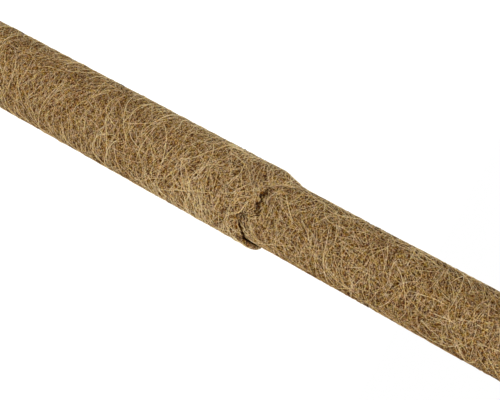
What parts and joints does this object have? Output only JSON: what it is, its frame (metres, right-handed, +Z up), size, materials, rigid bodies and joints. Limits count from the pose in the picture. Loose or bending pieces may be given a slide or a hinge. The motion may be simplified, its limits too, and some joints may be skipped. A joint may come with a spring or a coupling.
{
  "type": "moss pole",
  "caption": "Extendable climbing-plant support: a coir-wrapped tube with a ground spike, and a slimmer coir-wrapped tube whose bare spigot drops into its collared top.",
  "frame": {"origin": "on the pole's axis at the soil line, where the coir of the lower section begins", "axes": "+Z up the pole, towards the slimmer section; -Y is the side that faces the viewer in the picture"},
  "size_m": [0.032, 0.0317, 0.7236],
  "materials": {
    "tube": "extruded black plastic tube, satin",
    "coir": "bonded coconut-fibre felt, matt, fibres in every direction",
    "insert": "injection-moulded black polyethylene, satin"
  },
  "bodies": {
    "lower_section": {"lower_tube": "tube", "lower_coir_mat": "coir", "ground_spike": "insert"},
    "upper_section": {"upper_tube": "tube", "upper_coir_mat": "coir"},
    "plug": {"top_plug": "insert"}
  },
  "joints": [
    {"name": "section_pull", "type": "slide", "parent": "lower_section", "child": "upper_section", "axis": [0, 0, 1], "range_m": [0, 0.09]},
    {"name": "plug_pull", "type": "slide", "parent": "upper_section", "child": "plug", "axis": [0, 0, 1], "range_m": [0, 0.03]}
  ]
}
